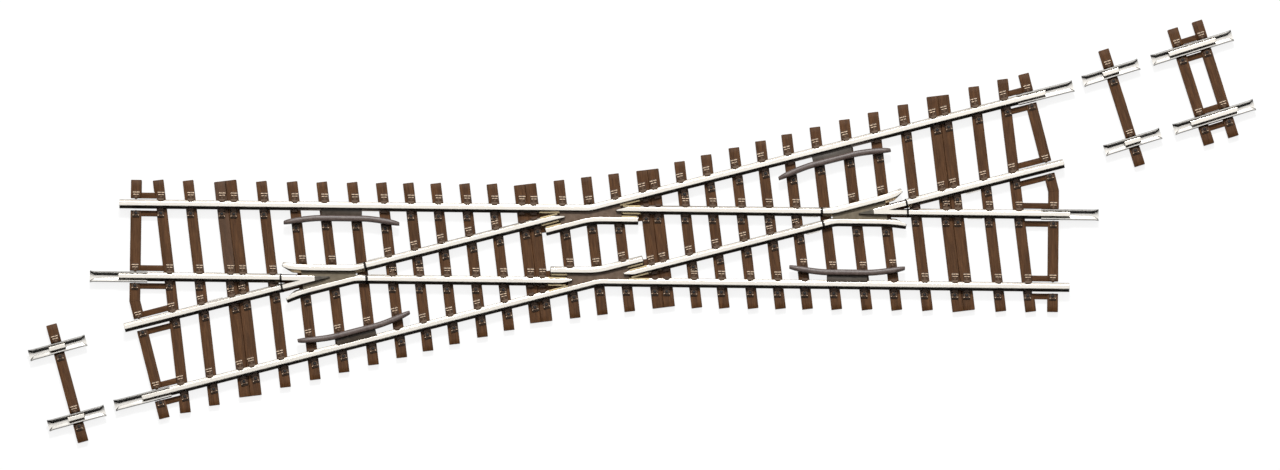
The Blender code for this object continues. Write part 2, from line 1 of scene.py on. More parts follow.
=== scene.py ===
"""The looks of a model railway diamond crossing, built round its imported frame.

Lengths are in millimetres until piece() turns them into metres. The straight track runs
along X, the diagonal one is turned from it, and most pieces are made for the west or
north half and made again half a turn round, because the crossing looks the same then.
"""

import json
import math
import random
from collections import namedtuple

import bmesh
import bpy
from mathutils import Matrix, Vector


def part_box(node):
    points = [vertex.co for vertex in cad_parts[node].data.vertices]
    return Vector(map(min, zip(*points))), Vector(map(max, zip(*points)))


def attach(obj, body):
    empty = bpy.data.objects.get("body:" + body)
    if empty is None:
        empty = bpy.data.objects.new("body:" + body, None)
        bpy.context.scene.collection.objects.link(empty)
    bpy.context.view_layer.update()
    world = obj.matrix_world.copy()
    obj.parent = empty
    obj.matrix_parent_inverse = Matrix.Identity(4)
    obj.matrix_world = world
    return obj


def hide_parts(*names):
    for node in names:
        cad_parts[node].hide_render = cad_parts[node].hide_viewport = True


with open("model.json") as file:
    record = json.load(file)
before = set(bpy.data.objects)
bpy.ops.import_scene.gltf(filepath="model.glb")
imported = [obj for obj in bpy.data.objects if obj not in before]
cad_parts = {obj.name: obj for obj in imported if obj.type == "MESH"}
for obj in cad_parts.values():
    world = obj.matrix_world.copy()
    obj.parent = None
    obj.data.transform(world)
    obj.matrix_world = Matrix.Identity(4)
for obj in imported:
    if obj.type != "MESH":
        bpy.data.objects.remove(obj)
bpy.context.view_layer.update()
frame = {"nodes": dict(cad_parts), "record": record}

# ---------------------------------------------------------------- sizes read from the frame

MOUNTS = {mount["name"]: mount for mount in frame["record"]["mounts"]}
WEST_NORTH = MOUNTS["rail_end_straight_west_north"]["pos_m"]
RAIL_OFFSET = WEST_NORTH[1] * 1000
ROUTE_HALF = -WEST_NORTH[0] * 1000
ANGLE = math.asin(MOUNTS["rail_end_diagonal_east_north"]["axis"][1])
RAIL_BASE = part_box("knee_rail_north")[0].z * 1000
RAIL_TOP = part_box("knee_rail_north")[1].z * 1000
FLOOR_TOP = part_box("k_floor_north")[1].z * 1000

HALF_ANGLE = ANGLE / 2
STRAIGHT, BISECTOR, DIAGONAL = 0.0, HALF_ANGLE, ANGLE
FROG_REACH = RAIL_OFFSET * (1 + math.cos(ANGLE)) / math.sin(ANGLE)
KNEE_REACH = RAIL_OFFSET * (1 - math.cos(ANGLE)) / math.sin(ANGLE)
RAIL_HEIGHT = RAIL_TOP - RAIL_BASE

# ---------------------------------------------------------------- sizes of the details

FIT = 0.05
SLEEPER_TOP = RAIL_BASE - FIT
SLEEPER_WIDTH = 2.6
DOUBLE_WIDTH = 5.45
SLEEPER_LENGTH = 29.4
STATIONS = (6.65, 14.92, 22.87, 29.45, 36.35, 42.93, 49.42, 56.42)
STATIONS += (63.70, 70.82, 78.19, 86.86, 95.77, 102.93)
DOUBLES = (14.92, 86.86)
END_INSET = 4.0
HEAD, WEB, FOOT = 1.1, 0.56, 2.2
GAP, INSERT_HALF = 0.45, 0.2
OUTER_GAP, INNER_GAP = 75.7, 54.9
WING_OFFSET, CHECK_OFFSET, GUARD_OFFSET = 2.35, 2.55, 2.95
K_FLANGEWAY = 1.3
CHECK_ARM = 11.4
GUARD_STATIONS = (-75.2, -66.3, -56.1, -47.2)
GUARD_FLARE, GUARD_WIDTH = 1.2, 1.4
CHAIR_GAP, CHAIR_REACH, CHAIR_WIDTH = 0.08, 2.02, 1.7
POCKET_HALF, POCKET_WEB = 1.5, 1.35
POCKET_END = 106.0
RUNNER_HALF, RUNNER_TOP = 0.65, 1.4
RUNNER_NEAR, RUNNER_FAR = 48.7, 95.7
CHANNEL_HALF, CHANNEL_TOP = 1.0, 1.55
CHANNEL_NEAR, CHANNEL_FAR = 55.9, 86.7
RUNNER_DEPTH = 1.1
PAD_NEAR, PAD_FAR = 6.0, 13.0
PAD_IN, PAD_OUT = 4.2, 1.4

random.seed(16)


def at(angle, along, across):
    """The plan point so far along and to the left of a line through the middle."""
    cos, sin = math.cos(angle), math.sin(angle)
    return Vector((along * cos - across * sin, along * sin + across * cos))


class Place:
    """A turned and moved plan frame that shapes are built in."""

    def __init__(self, angle=0.0, origin=(0.0, 0.0), half_turn=False):
        self.angle = angle + (math.pi if half_turn else 0.0)
        self.origin = Vector(origin) * (-1 if half_turn else 1)

    def __call__(self, x, y, z):
        point = at(self.angle, x, y) + self.origin
        return (point.x, point.y, z)


def mirrored(place, side, along=0.0, across=0.0):
    """The same plan frame moved so far, and flipped over its line where side is -1."""

    def moved(x, y, z):
        return place(along + x, across + side * y, z)

    return moved


def rounded(points, radius, steps=3, closed=True):
    """An outline or path with each corner eased by a short curve."""
    out = []
    count = len(points)
    for i, corner in enumerate(points):
        if not closed and i in (0, count - 1):
            out.append(corner)
            continue
        before, after = points[i - 1] - corner, points[(i + 1) % count] - corner
        ease = min(radius, before.length * 0.45, after.length * 0.45)
        start, end = corner + before.normalized() * ease, corner + after.normalized() * ease
        for step in range(steps + 1):
            t = step / steps
            out.append(start * (1 - t) ** 2 + corner * (2 * t * (1 - t)) + end * t**2)
    return out


def both_sides(half):
    """A closed outline from its right half, mirrored."""
    return [Vector(p) for p in half] + [Vector((-x, z)) for x, z in reversed(half)]


def flat_topped(outline, inset=0.1):
    """The outline with two more points near the ends of its level top, which keep its shading flat."""
    high = max(p.y for p in outline)
    out = []
    for p, q in zip(outline, outline[1:] + outline[:1]):
        out.append(p)
        if min(p.y, q.y) > high - 1e-6 and abs(q.x - p.x) > 3 * inset:
            step = math.copysign(inset, q.x - p.x)
            out += [Vector((p.x + step, high)), Vector((q.x - step, high))]
    return out


def volume(faces):
    """The volume inside closed faces, below nought if they face inwards."""
    total = 0.0
    for face in faces:
        first = face.verts[0].co
        for second, third in zip(face.verts[1:], face.verts[2:]):
            total += first.dot(second.co.cross(third.co)) / 6
    return total


def add_loft(bm, rings, material=0, last=0, last_from=None):
    """A closed body through rings of equally many points, in another material from last_from on."""
    rings = [[bm.verts.new(point) for point in ring] for ring in rings]
    count = len(rings[0])
    last_from = len(rings) if last_from is None else last_from
    faces = []
    for number, (near, far) in enumerate(zip(rings, rings[1:])):
        for i in range(count):
            j = (i + 1) % count
            face = bm.faces.new((near[i], near[j], far[j], far[i]))
            face.material_index = last if number >= last_from else material
            faces.append(face)
    faces.append(bm.faces.new(rings[0][::-1]))
    faces[-1].material_index = material
    faces.append(bm.faces.new(rings[-1]))
    faces[-1].material_index = last if last_from < len(rings) else material
    if volume(faces) < 0:
        bmesh.ops.reverse_faces(bm, faces=faces)
    return rings


def add_sweep(bm, path, profile, place, base=0.0, limits=None, chamfer=0.05, material=0):
    """Sweeps a (left, up) profile along a plan path, with mitred bends and eased ends."""
    middle = Vector((0, sum(p[1] for p in profile) / len(profile)))
    path = list(path)
    limits = list(limits) if limits else [math.inf] * len(path)
    first = path[0] + (path[1] - path[0]).normalized() * chamfer
    last = path[-1] + (path[-2] - path[-1]).normalized() * chamfer
    path = [path[0], first] + path[1:-1] + [last, path[-1]]
    limits = [limits[0]] + limits + [limits[-1]]
    rings = []
    for i, point in enumerate(path):
        into = (point - path[i - 1]).normalized() if i else (path[1] - point).normalized()
        out = (path[i + 1] - point).normalized() if i < len(path) - 1 else into
        way = (into + out).normalized()
        left = Vector((-way.y, way.x)) / way.dot(into)
        ease = 1.0 - (chamfer * 1.2 if i in (0, len(path) - 1) else 0.0)
        ring = []
        for p in profile:
            across, up = middle + (Vector(p) - middle) * ease
            spot = point + left * min(across, limits[i])
            ring.append(place(spot.x, spot.y, base + up))
        rings.append(ring)
    return add_loft(bm, rings, material)


def add_block(bm, place, along, across, low, high, ease=0.06, material=0):
    """A box in a plan frame with eased upright and top edges."""
    (x0, x1), (y0, y1) = along, across
    corners = [Vector(c) for c in ((x0, y0), (x1, y0), (x1, y1), (x0, y1))]
    centre = Vector(((x0 + x1) / 2, (y0 + y1) / 2))
    outline = rounded(corners, ease, 2)
    rings = [[place(p.x, p.y, z) for p in outline] for z in (low, high - ease)]
    inset = []
    for p in outline:
        d = p - centre
        d.x -= math.copysign(min(ease, abs(d.x)), d.x)
        d.y -= math.copysign(min(ease, abs(d.y)), d.y)
        inset.append(centre + d)
    middle = [p.lerp(q, 0.3) for p, q in zip(outline, inset)]
    rings.append([place(p.x, p.y, high - ease * 0.3) for p in middle])
    rings.append([place(p.x, p.y, high) for p in inset])
    add_loft(bm, rings, material)


def add_turned(bm, place, centre, profile, sides=14, material=0):
    """A round body from (radius, height) pairs, from its bottom rim to its top middle."""
    rings = []
    for radius, height in profile:
        ring = []
        for i in range(sides):
            turn = math.tau * i / sides
            x = centre[0] + radius * math.cos(turn)
            ring.append(place(x, centre[1] + radius * math.sin(turn), height))
        rings.append(ring)
    add_loft(bm, rings, material)


# ---------------------------------------------------------------- materials


class Nodes:
    """A material's node tree, with a short way to add and join nodes."""

    def __init__(self, name):
        self.material = bpy.data.materials.new(name)
        self.material.use_nodes = True
        self.tree = self.material.node_tree
        self.shader = self.tree.nodes["Principled BSDF"]

    def add(self, kind, **values):
        node = self.tree.nodes.new("ShaderNode" + kind)
        for key, value in values.items():
            if hasattr(node, key):
                setattr(node, key, value)
            else:
                node.inputs[key.replace("_", " ")].default_value = value
        return node

    def set(self, socket, value):
        self.shader.inputs[socket].default_value = value

    def join(self, source, target):
        self.tree.links.new(source, target)

    def ramp(self, source, *stops):
        node = self.add("ValToRGB")
        elements = node.color_ramp.elements
        while len(elements) < len(stops):
            elements.new(0.5)
        for element, (place, colour) in zip(elements, stops):
            element.position = place
            element.color = colour if len(colour) == 4 else (*colour, 1.0)
        self.join(source, node.inputs["Fac"])
        return node.outputs["Color"]

    def facing_up(self, low, high):
        """Nought on walls and one on what faces up."""
        facing = self.add("SeparateXYZ")
        self.join(self.add("NewGeometry").outputs["Normal"], facing.inputs["Vector"])
        return self.ramp(facing.outputs["Z"], (low, (0.0, 0.0, 0.0)), (high, (1.0, 1.0, 1.0)))

    def noise(self, vector, scale, detail=3.0, roughness=0.55):
        node = self.add("TexNoise", Scale=scale, Detail=detail, Roughness=roughness)
        self.join(vector, node.inputs["Vector"])
        return node.outputs["Fac"]

    def stretched(self, vector, scale):
        node = self.add("Mapping", Scale=scale)
        self.join(vector, node.inputs["Vector"])
        return node.outputs["Vector"]

    def mix(self, factor, first, second, blend="MIX"):
        node = self.add("MixRGB", blend_type=blend)
        for value, socket in ((factor, 0), (first, 1), (second, 2)):
            if isinstance(value, (int, float)):
                node.inputs[socket].default_value = value
            elif isinstance(value, tuple):
                node.inputs[socket].default_value = (*value, 1.0)
            else:
                self.join(value, node.inputs[socket])
        return node.outputs[0]

    def bump(self, height, strength, distance):
        node = self.add("Bump", Strength=strength, Distance=distance)
        self.join(height, node.inputs["Height"])
        self.join(node.outputs["Normal"], self.shader.inputs["Normal"])

    def roughness(self, source, low, high):
        node = self.add("MapRange")
        node.inputs["To Min"].default_value = low
        node.inputs["To Max"].default_value = high
        self.join(source, node.inputs["Value"])
        self.join(node.outputs["Result"], self.shader.inputs["Roughness"])


def sleeper_plastic(name, dark, light, specular):
    """Brown moulded plastic with wood grain that follows each sleeper's own length."""
    nodes = Nodes(name)
    grain = nodes.add("Attribute", attribute_name="grain").outputs["Vector"]
    tint = nodes.add("Attribute", attribute_name="tint").outputs["Fac"]
    fine = nodes.noise(nodes.stretched(grain, (5.0, 0.28, 1.0)), 1.0, 5.0, 0.62)
    broad = nodes.noise(nodes.stretched(grain, (1.1, 0.10, 1.0)), 1.0, 2.0)
    speckle = nodes.noise(grain, 6.0, 2.0)
    middle = tuple(0.55 * d + 0.45 * l for d, l in zip(dark, light))
    streaks = nodes.ramp(fine, (0.32, dark), (0.52, middle), (0.72, light))
    patches = nodes.ramp(broad, (0.35, (0.80, 0.80, 0.80)), (0.65, (1.12, 1.10, 1.08)))
    colour = nodes.mix(1.0, streaks, patches, "MULTIPLY")
    wear_and_highlight = nodes.mix(tint, colour, tuple(0.5 * l + 0.055 for l in light))
    flecks = nodes.ramp(speckle, (0.70, (1.0, 1.0, 1.0)), (0.78, (1.35, 1.35, 1.35)))
    final = nodes.mix(1.0, wear_and_highlight, flecks, "MULTIPLY")
    nodes.join(final, nodes.shader.inputs["Base Color"])
    nodes.roughness(fine, 0.46, 0.66)
    nodes.bump(fine, 0.5, 0.00006)
    nodes.set("Specular IOR Level", specular)
    return nodes.material


def plain_plastic(name, dark, light, specular):
    """Moulded plastic with a fine satin texture and faint mottling."""
    nodes = Nodes(name)
    position = nodes.add("TexCoord").outputs["Object"]
    mottle = nodes.noise(position, 900.0, 3.0)
    skin = nodes.noise(position, 8100.0, 2.0)
    nodes.join(nodes.ramp(mottle, (0.30, dark), (0.70, light)), nodes.shader.inputs["Base Color"])
    nodes.roughness(skin, 0.34, 0.52)
    nodes.bump(skin, 0.25, 0.00002)
    nodes.set("Specular IOR Level", specular)
    return nodes.material


def chair_plastic(name, dark, middle, wear_and_highlight):
    """The sleepers' plastic, with painted highlights on its raised bits and black painted shade in its
    holes.
    """
    nodes = Nodes(name)
    position = nodes.add("TexCoord").outputs["Object"]
    painted_light = nodes.add("Attribute", attribute_name="painted_light").outputs["Fac"]
    patchy = nodes.noise(position, 1600.0, 3.0)
    level = nodes.add("MapRange")
    level.inputs["From Min"].default_value = -1.0
    nodes.join(painted_light, level.inputs["Value"])
    # Black painted shade for the holes; the top of the ramp is the painted highlight colour of raised
    # bits.
    hole = (0.004, 0.003, 0.003)
    half_highlight = tuple(0.6 * m + 0.4 * w for m, w in zip(middle, wear_and_highlight))
    stops = ((0.0, hole), (0.3, dark), (0.55, middle), (0.72, half_highlight), (1.0, wear_and_highlight))
    colour = nodes.ramp(level.outputs["Result"], *stops)
    shade = nodes.ramp(patchy, (0.3, (0.78, 0.78, 0.78)), (0.7, (1.15, 1.15, 1.15)))
    nodes.join(nodes.mix(1.0, colour, shade, "MULTIPLY"), nodes.shader.inputs["Base Color"])
    nodes.roughness(patchy, 0.40, 0.60)
    nodes.bump(patchy, 0.3, 0.00003)
    nodes.set("Specular IOR Level", 0.35)
    return nodes.material


def rail_metal(name, bright, foot_tone, wall_shade):
    """Drawn nickel silver, bright on top and darker towards the foot, with painted shade on its walls and
    undersides.
    """
    nodes = Nodes(name)
    position = nodes.add("TexCoord").outputs["Object"]
    height = nodes.add("SeparateXYZ")
    nodes.join(position, height.inputs["Vector"])
    level = nodes.add("MapRange")
    level.inputs["From Min"].default_value = (RAIL_TOP - 1.2) / 1000
    level.inputs["From Max"].default_value = (RAIL_TOP - 0.25) / 1000
    nodes.join(height.outputs["Z"], level.inputs["Value"])
    streak = nodes.noise(nodes.stretched(position, (60.0, 2600.0, 900.0)), 1.0, 3.0)
    cloud = nodes.noise(position, 160.0, 3.0)
    side = nodes.facing_up(0.25, 0.85)
    tone = nodes.ramp(cloud, (0.35, tuple(0.95 * c for c in bright)), (0.65, bright))
    upper = nodes.mix(level.outputs["Result"], foot_tone, tone)
    # Walls and undersides take the third colour: painted shade.
    nodes.join(nodes.mix(side, wall_shade, upper), nodes.shader.inputs["Base Color"])
    nodes.roughness(streak, 0.24, 0.36)
    nodes.bump(streak, 0.12, 0.000004)
    nodes.set("Metallic", 1.0)
    return nodes.material


def sheet_metal(name, bright, metallic=1.0):
    """Thin sheet, bright where it faces up and painted darker on its walls as shade, with faint folding
    and handling marks.
    """
    nodes = Nodes(name)
    position = nodes.add("TexCoord").outputs["Object"]
    side = nodes.facing_up(0.45, 0.85)
    cloud = nodes.noise(position, 420.0, 3.0)
    tone = nodes.ramp(cloud, (0.3, tuple(0.86 * c for c in bright)), (0.7, bright))
    # Walls take 0.22 of the colour as painted shade.
    nodes.join(nodes.mix(side, tuple(0.22 * c for c in bright), tone), nodes.shader.inputs["Base Color"])
    nodes.roughness(nodes.noise(position, 1500.0, 2.0), 0.16, 0.30)
    nodes.set("Metallic", metallic)
    return nodes.material


def cast_metal(name, low, high):
    """Cast frog metal with a faint sandy surface."""
    nodes = Nodes(name)
    position = nodes.add("TexCoord").outputs["Object"]
    mottle = nodes.noise(position, 700.0, 4.0)
    sand = nodes.noise(position, 7000.0, 2.0)
    nodes.join(nodes.ramp(mottle, (0.3, low), (0.7, high)), nodes.shader.inputs["Base Color"])
    nodes.roughness(mottle, 0.42, 0.62)
    nodes.bump(sand, 0.4, 0.00003)
    nodes.set("Metallic", 0.55)
    return nodes.material


BROWN = sleeper_plastic("sleeper_brown", (0.066, 0.025, 0.007), (0.150, 0.070, 0.027), 0.18)
# The bright painted highlight colour of the chairs' raised bits.
CHAIR_HIGHLIGHT = (0.88, 0.66, 0.46)
CHAIR_BROWN = chair_plastic("chair_brown", (0.024, 0.014, 0.008), (0.090, 0.046, 0.023), CHAIR_HIGHLIGHT)
FLOOR_BROWN = plain_plastic("floor_brown", (0.115, 0.072, 0.044), (0.180, 0.120, 0.080), 0.3)
GUARD_BROWN = plain_plastic("guard_brown", (0.095, 0.066, 0.058), (0.155, 0.115, 0.100), 0.6)
# The rails' colours: top, towards the foot, and painted shade for walls and undersides.
NICKEL = rail_metal("rail_nickel_silver", (0.73, 0.69, 0.625), (0.60, 0.55, 0.485), (0.10, 0.078, 0.05))
# Golden sheet for strips that stand for light reflected off the rail feet: painted reflection.
FOOT_REFLECTION = sheet_metal("painted_foot_reflection", (0.84, 0.66, 0.36), 0.3)
SHEET = sheet_metal("joiner_nickel_silver", (0.66, 0.635, 0.595))
CAST = cast_metal("frog_cast", (0.13, 0.105, 0.070), (0.20, 0.165, 0.115))
DARK_CAST = cast_metal("frog_point_planed", (0.07, 0.062, 0.05), (0.13, 0.115, 0.09))
INSERT_BROWN = plain_plastic("insert_brown", (0.012, 0.009, 0.006), (0.022, 0.016, 0.011), 0.2)
# The guard's spacer plastic, darkened as painted shade.
SPACER_SHADE = plain_plastic("spacer_painted_shade", (0.040, 0.028, 0.018), (0.070, 0.052, 0.036), 0.4)


# ---------------------------------------------------------------- pieces


def piece(name, bm, materials, body, replaced, smooth=35.0):
    """Turns a bmesh into a piece of the object that rides on a body."""
    for vert in bm.verts:
        vert.co /= 1000
    mesh = bpy.data.meshes.new(name)
    bm.to_mesh(mesh)
    bm.free()
    for material in materials:
        mesh.materials.append(material)
    mesh.shade_smooth()
    mesh.set_sharp_from_angle(angle=math.radians(smooth))
    obj = bpy.data.objects.new(name, mesh)
    bpy.context.scene.collection.objects.link(obj)
    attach(obj, body)
    if replaced:
        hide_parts(*replaced)
    return obj


def drawn_rail(name, bm, body="crossing"):
    piece(name + "_drawn", bm, [NICKEL], body, [name])


RAIL_HALF = (
    (FOOT / 2, 0.0),
    (FOOT / 2, 0.25),
    (WEB / 2, 0.5),
    (WEB / 2, 1.4),
    (HEAD / 2, 1.58),
    (HEAD / 2, RAIL_HEIGHT),
)
RAIL_PROFILE = flat_topped(rounded(both_sides(RAIL_HALF), 0.11))


def knee_place(half_turn):
    return Place(BISECTOR, at(STRAIGHT, -KNEE_REACH, RAIL_OFFSET), half_turn)


def knee_rail(edge, half_turn):
    arm = ROUTE_HALF - KNEE_REACH
    path = [at(-HALF_ANGLE, -arm, 0), Vector((0, 0)), at(HALF_ANGLE, arm, 0)]
    bm = bmesh.new()
    add_sweep(bm, rounded(path, 1.2, 6, closed=False), RAIL_PROFILE, knee_place(half_turn), RAIL_BASE)
    name = f"knee_rail_{edge}"
    drawn_rail(name, bm)


def check_rail(edge, half_turn):
    bend = Vector((0, -CHECK_OFFSET / math.cos(HALF_ANGLE)))
    path = [bend + at(HALF_ANGLE, -CHECK_ARM, 0), bend, bend + at(-HALF_ANGLE, CHECK_ARM, 0)]
    bm = bmesh.new()
    place = knee_place(half_turn)
    add_sweep(bm, rounded(path, 2.6, 8, closed=False), RAIL_PROFILE, place, RAIL_BASE, chamfer=0.12)
    name = f"check_rail_{edge}"
    drawn_rail(name, bm)


def lead_rail(name, angle, across, half_turn):
    bm = bmesh.new()
    path = [Vector((-ROUTE_HALF, 0)), Vector((-OUTER_GAP - GAP / 2, 0))]
    place = Place(angle, at(angle, 0, across), half_turn)
    add_sweep(bm, path, RAIL_PROFILE, place, RAIL_BASE)
    drawn_rail(name, bm)


def gap_inserts(end, half_turn):
    """Thin dark plastic in the four insulating gaps beside a frog, standing a little proud."""
    bm = bmesh.new()
    profile = [Vector((p.x * 1.04, p.y * 1.03)) for p in RAIL_PROFILE]
    for angle, across in ((STRAIGHT, -RAIL_OFFSET), (DIAGONAL, RAIL_OFFSET)):
        place = Place(angle, at(angle, 0, across), half_turn)
        for gap in (OUTER_GAP, INNER_GAP):
            path = [Vector((-gap - INSERT_HALF, 0)), Vector((-gap + INSERT_HALF, 0))]
            add_sweep(bm, path, profile, place, RAIL_BASE, chamfer=0.02)
    piece(f"gap_inserts_{end}", bm, [INSERT_BROWN], "crossing", [])


def nose_distance(limit):
    """The distance from the knee at which a nose reaches this far towards the knee rail."""
    return (limit + (HEAD / 2 + K_FLANGEWAY) / math.cos(ANGLE)) / math.tan(ANGLE)


NOSE_REACH = nose_distance(-0.2)


def closure_rail(name, angle, across, flipped, half_turn):
    """From the gap beside the frog to the planed nose of the K crossing."""
    limits = [FOOT / 2, 0.8, HEAD / 2, 0.44, WEB / 2, 0.1, -0.06, -0.2]
    distances = [nose_distance(limit) for limit in limits]
    path = [Vector((-INNER_GAP + GAP / 2, 0))] + [Vector((KNEE_REACH - d, 0)) for d in distances]
    bm = bmesh.new()
    place = mirrored(Place(angle, at(angle, 0, across), half_turn), -1 if flipped else 1)
    limits = [FOOT / 2 + 0.01] + limits
    add_sweep(bm, path, RAIL_PROFILE, place, RAIL_BASE, limits, chamfer=0.04)
    drawn_rail(name, bm)


def frog_place(half_turn):
    return Place(BISECTOR, at(STRAIGHT, -FROG_REACH, -RAIL_OFFSET), half_turn)


def add_vee(bm, place):
    """The cast point between the two legs, planed down towards its tip."""
    leg_end = FROG_REACH - OUTER_GAP + GAP / 2
    crotch = -HEAD / 2 / math.sin(HALF_ANGLE)
    merge = 3.7
    tip_half = 0.16
    tip = (HEAD / 2 / math.cos(HALF_ANGLE) - tip_half) / math.tan(HALF_ANGLE)
    edge = HEAD / 2 / math.cos(HALF_ANGLE)
    drop = 0.55
    ease = 0.09

    def outer(x):
        return edge - x * math.tan(HALF_ANGLE)

    def top(x):
        if x < tip - merge:
            return RAIL_TOP
        return RAIL_TOP - drop * ((x - tip + merge) / merge) ** 1.5

    for side in (1, -1):
        rings = []
        xs = [leg_end, leg_end + 0.06] + [crotch + 0.01 + i * 0.6 for i in range(4)]
        x = xs[-1]
        while x < tip - 0.35:
            xs.append(x)
            x += 0.35
        xs.append(tip)
        for x in sorted(set(xs)):
            inner = outer(x) - 2 * edge if x < crotch else 0.0
            high = top(x) - (0.06 if x in (leg_end, tip) else 0.0)
            low = RAIL_BASE + 0.02
            ring = [(inner, low), (outer(x), low), (outer(x), high - ease)]
            ring += [(outer(x) - ease * 0.3, high - ease * 0.3), (outer(x) - ease, high)]
            ring += [(max(outer(x) - 2 * ease, inner), high), (inner, high)]
            rings.append([place(x, side * y, z) for y, z in ring])
        planed = sum(x < tip - merge for x in set(xs))
        add_loft(bm, rings, last=1, last_from=planed)


def frog_casting(end, half_turn):
    """The cast frog: bright V and wing rails over a duller floor."""
    place = frog_place(half_turn)
    tilt = -HALF_ANGLE
    wing_start = FROG_REACH - INNER_GAP - GAP / 2
    knuckle = WING_OFFSET / math.sin(ANGLE)
    path = [
        at(HALF_ANGLE, wing_start, 0),
        at(HALF_ANGLE, knuckle, 0),
        at(tilt, -2.8, WING_OFFSET),
        at(tilt, -5.6, WING_OFFSET + 0.12),
        at(tilt, -8.6, WING_OFFSET + 0.5),
    ]
    path = rounded(path, 5.5, 8, closed=False)
    metal = bmesh.new()
    limits = [2.0 if p.x > -5.6 else FOOT / 2 - (FOOT / 2 + 0.15) * (-5.6 - p.x) / 3.0 for p in path]
    for side in (1, -1):
        add_sweep(metal, path, RAIL_PROFILE, mirrored(place, side), RAIL_BASE, limits, chamfer=0.12)
    add_vee(metal, place)
    name = f"frog_{end}"
    piece(name + "_rails", metal, [NICKEL, DARK_CAST], "crossing", [name])
    floor = bmesh.new()
    floor_west, floor_east = -3.7, 9.4
    west = at(tilt, floor_west, WING_OFFSET)
    outline = [Vector((floor_west, west.y)), at(HALF_ANGLE, knuckle, 0), at(HALF_ANGLE, floor_east, 0)]
    outline += [Vector((p.x, -p.y)) for p in reversed(outline)]
    rings = [[place(p.x, p.y, z) for p in outline] for z in (RAIL_BASE + 0.04, FLOOR_TOP)]
    add_loft(floor, rings)
    piece(name + "_floor", floor, [CAST], "crossing", [])


def on_line(tilt, x, across):
    """The point of a turned line, this far to its left, whose plan x is given."""
    return at(tilt, (x + across * math.sin(tilt)) / math.cos(tilt), across)


def k_floor(edge, half_turn):
    reach = 7.4
    side = WEB / 2 + FIT
    check = Vector((0, -CHECK_OFFSET / math.cos(HALF_ANGLE)))
    nose_gap = HEAD / 2 + K_FLANGEWAY - FIT
    tip = NOSE_REACH - 0.1
    east = [
        Vector((0, -side / math.cos(HALF_ANGLE))),
        on_line(HALF_ANGLE, reach, -side),
        on_line(HALF_ANGLE, reach, -nose_gap),
        at(-HALF_ANGLE, tip, -0.1),
        at(-HALF_ANGLE, tip, -side - 0.25),
        on_line(-HALF_ANGLE, reach, -side - 0.25),
        check + on_line(-HALF_ANGLE, reach, side),
        check + Vector((0, side / math.cos(HALF_ANGLE))),
    ]
    outline = east + [Vector((-p.x, p.y)) for p in reversed(east[1:-1])]
    place = knee_place(half_turn)
    bm = bmesh.new()
    rings = [[place(p.x, p.y, z) for p in outline] for z in (RAIL_BASE + 0.55, FLOOR_TOP)]
    add_loft(bm, rings)
    name = f"k_floor_{edge}"
    piece(name + "_moulded", bm, [FLOOR_BROWN], "crossing", [name])


def foot_reflection_strips(edge, half_turn):
    """Narrow golden strips along the rail feet at both ends of the K crossing's floor: a painted
    reflection of light off the feet.
    """
    place = knee_place(half_turn)
    check = Vector((0, -CHECK_OFFSET / math.cos(HALF_ANGLE)))
    start, end = 6.8, 12.2
    bm = bmesh.new()
    knee = Vector((0, 0))
    for origin, way, turn, sides in (
        (knee, 1, 1, (-1,)),
        (knee, -1, 1, (-1,)),
        (knee, 1, -1, (1, -1)),
        (knee, -1, -1, (1, -1)),
        (check, 1, -1, (1,)),
        (check, -1, -1, (1,)),
    ):
        tilt = turn * HALF_ANGLE
        near = start + (1.2 if origin is knee and turn < 0 else 0.0)
        far = min(end, CHECK_ARM - 0.3) if origin is check else end
        path = [origin + Vector((way * d * math.cos(tilt), d * math.sin(tilt))) for d in (near, far)]
        for side in sides:
            middle = side * way * (FOOT / 2 - 0.2)
            strip = [(middle + x, z) for x, z in ((-0.19, 0.3), (0.19, 0.3), (0.17, 0.46), (-0.17, 0.46))]
            add_sweep(bm, path, strip, place, RAIL_BASE, chamfer=0.05)
    piece(f"k_strips_{edge}", bm, [FOOT_REFLECTION], "crossing", [])


def guard_flare(along):
    west, flat_west, flat_east, east = GUARD_STATIONS
    into = max((flat_west - along) / (flat_west - west), (along - flat_east) / (east - flat_east))
    return GUARD_FLARE * max(into, 0.0) ** 1.5


